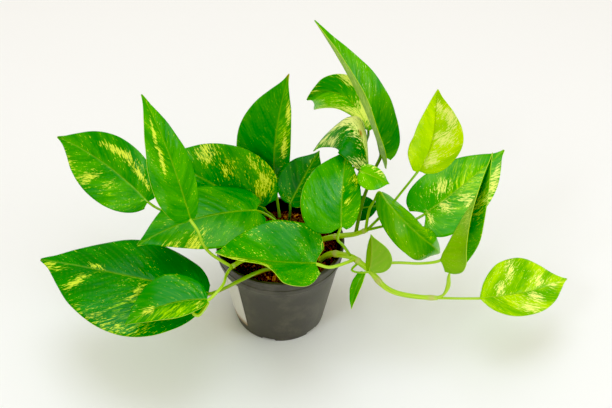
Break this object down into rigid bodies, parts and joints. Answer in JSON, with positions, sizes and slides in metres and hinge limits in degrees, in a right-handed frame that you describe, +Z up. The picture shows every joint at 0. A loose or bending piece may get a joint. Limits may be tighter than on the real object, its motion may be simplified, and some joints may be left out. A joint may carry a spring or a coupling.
{
  "type": "potted pothos plant",
  "caption": "Potted trailing houseplant: heart-shaped variegated green leaves on long stalks and vines spreading from a dark round nursery pot filled with bark soil.",
  "frame": {"origin": "centre of the pot's foot, on the surface that the pot stands on", "axes": "+Z up along the pot's axis; the plant spreads along X, its longest direction, with the far trailing leaf at +X; the open front faces -Y"},
  "size_m": [0.4387, 0.2187, 0.2635],
  "materials": {
    "pot": "dark grey-brown moulded plastic with a satin sheen",
    "soil": "loose dark peat with bark chips",
    "label": "blank pale sticker with a tan lower edge",
    "leaf": "waxy green leaf with cream and yellow marbling",
    "stalk": "smooth fleshy light green stalk",
    "vine": "smooth yellow-green vine with nodes"
  },
  "bodies": {
    "root": {"pot": "pot", "soil": "soil", "label": "label", "vine_right": "vine", "vine_main": "vine", "vine_left": "vine", "vine_back": "vine", "stalk_lower_left": "stalk", "stalk_small_over": "stalk", "stalk_upper_left": "stalk", "stalk_upright_left": "stalk", "stalk_mid_left_front": "stalk", "stalk_mid_left_back": "stalk", "stalk_back_upright": "stalk", "stalk_inner_shaded": "stalk", "stalk_centre_heart": "stalk", "stalk_over_pot": "stalk", "stalk_tall": "stalk", "stalk_hooked_top": "stalk", "stalk_cream_small": "stalk", "stalk_curled_small": "stalk", "stalk_right_heart": "stalk", "stalk_right_large": "stalk", "stalk_right_folded": "stalk", "stalk_centre_right": "stalk", "stalk_far_right": "stalk", "stalk_upturned": "stalk", "stalk_under_centre": "stalk", "stalk_low_inner": "stalk", "leaf_lower_left": "leaf", "leaf_small_over": "leaf", "leaf_upper_left": "leaf", "leaf_upright_left": "leaf", "leaf_mid_left_front": "leaf", "leaf_mid_left_back": "leaf", "leaf_back_upright": "leaf", "leaf_inner_shaded": "leaf", "leaf_centre_heart": "leaf", "leaf_over_pot": "leaf", "leaf_tall": "leaf", "leaf_hooked_top": "leaf", "leaf_cream_small": "leaf", "leaf_curled_small": "leaf", "leaf_right_heart": "leaf", "leaf_right_large": "leaf", "leaf_right_folded": "leaf", "leaf_centre_right": "leaf", "leaf_far_right": "leaf", "leaf_upturned": "leaf", "leaf_rolled_down": "leaf", "leaf_under_centre": "leaf", "leaf_low_inner": "leaf", "shoot": "stalk", "curled_bud": "stalk"}
  },
  "joints": []
}
